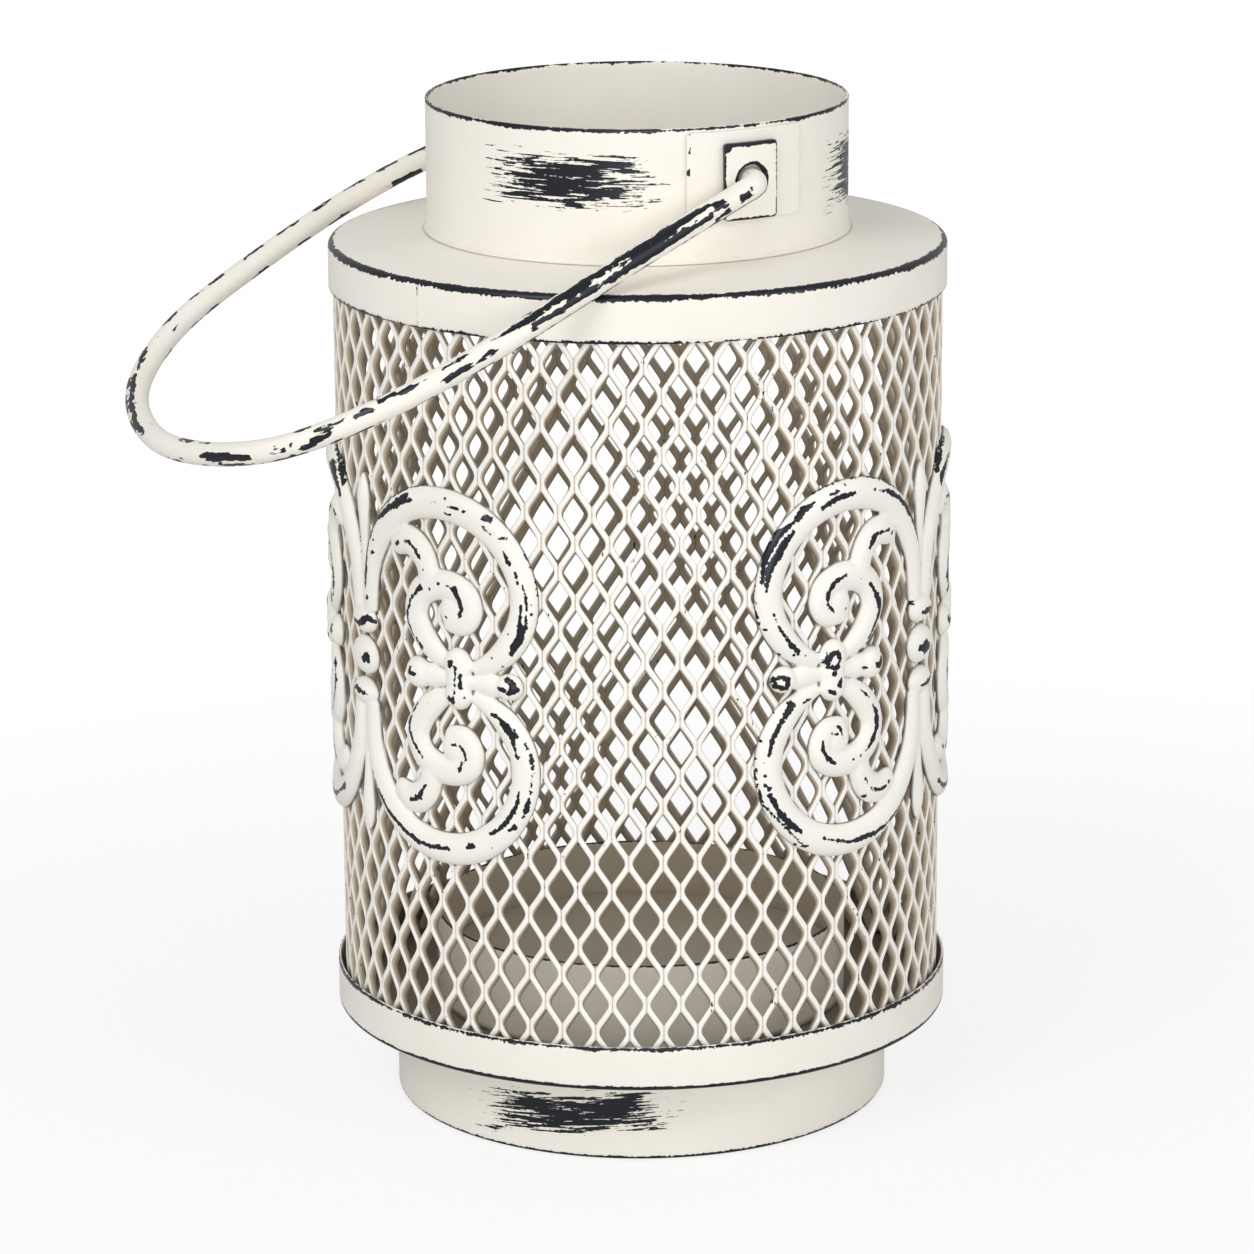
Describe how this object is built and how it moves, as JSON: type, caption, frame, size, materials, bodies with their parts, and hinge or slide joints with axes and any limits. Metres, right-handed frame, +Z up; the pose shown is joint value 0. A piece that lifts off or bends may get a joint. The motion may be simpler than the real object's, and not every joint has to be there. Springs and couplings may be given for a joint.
{
  "type": "candle lantern",
  "caption": "Round candle lantern with an expanded-metal body, a raised foot, an open neck collar, scroll ornaments and a swing handle.",
  "frame": {"origin": "centre of the foot's underside, where the lantern stands", "axes": "+Z up along the lantern's axis, -Y towards the front, +X to the right seen from the front"},
  "size_m": [0.2108, 0.1831, 0.2635],
  "materials": {
    "body_paint": "cream paint, satin, worn through to dark metal along the edges",
    "mesh_paint": "cream paint, satin",
    "cup_paint": "cream paint, satin, dark worn rim",
    "scroll_paint": "cream paint, satin, dark streaks along the raised ridges",
    "handle_paint": "cream paint, satin, chipped to dark metal all along"
  },
  "bodies": {
    "lantern": {"foot_pan": "body_paint", "base_pan": "body_paint", "candle_cup_wall": "cup_paint", "candle_cup_floor": "cup_paint", "mesh_sleeve": "mesh_paint", "shoulder_cap": "body_paint", "neck_collar": "body_paint", "ear_pad_front": "body_paint", "ear_plate_front": "body_paint", "ear_pad_back": "body_paint", "ear_plate_back": "body_paint", "scroll_left": "scroll_paint", "scroll_right": "scroll_paint"},
    "handle": {"bail_handle": "handle_paint"}
  },
  "joints": [
    {"name": "handle_swing", "type": "hinge", "parent": "lantern", "child": "handle", "pos_m": [0, 0, 0.2498], "axis": [-0.5, 0.866, 0], "range_deg": [0, 223.5]}
  ]
}
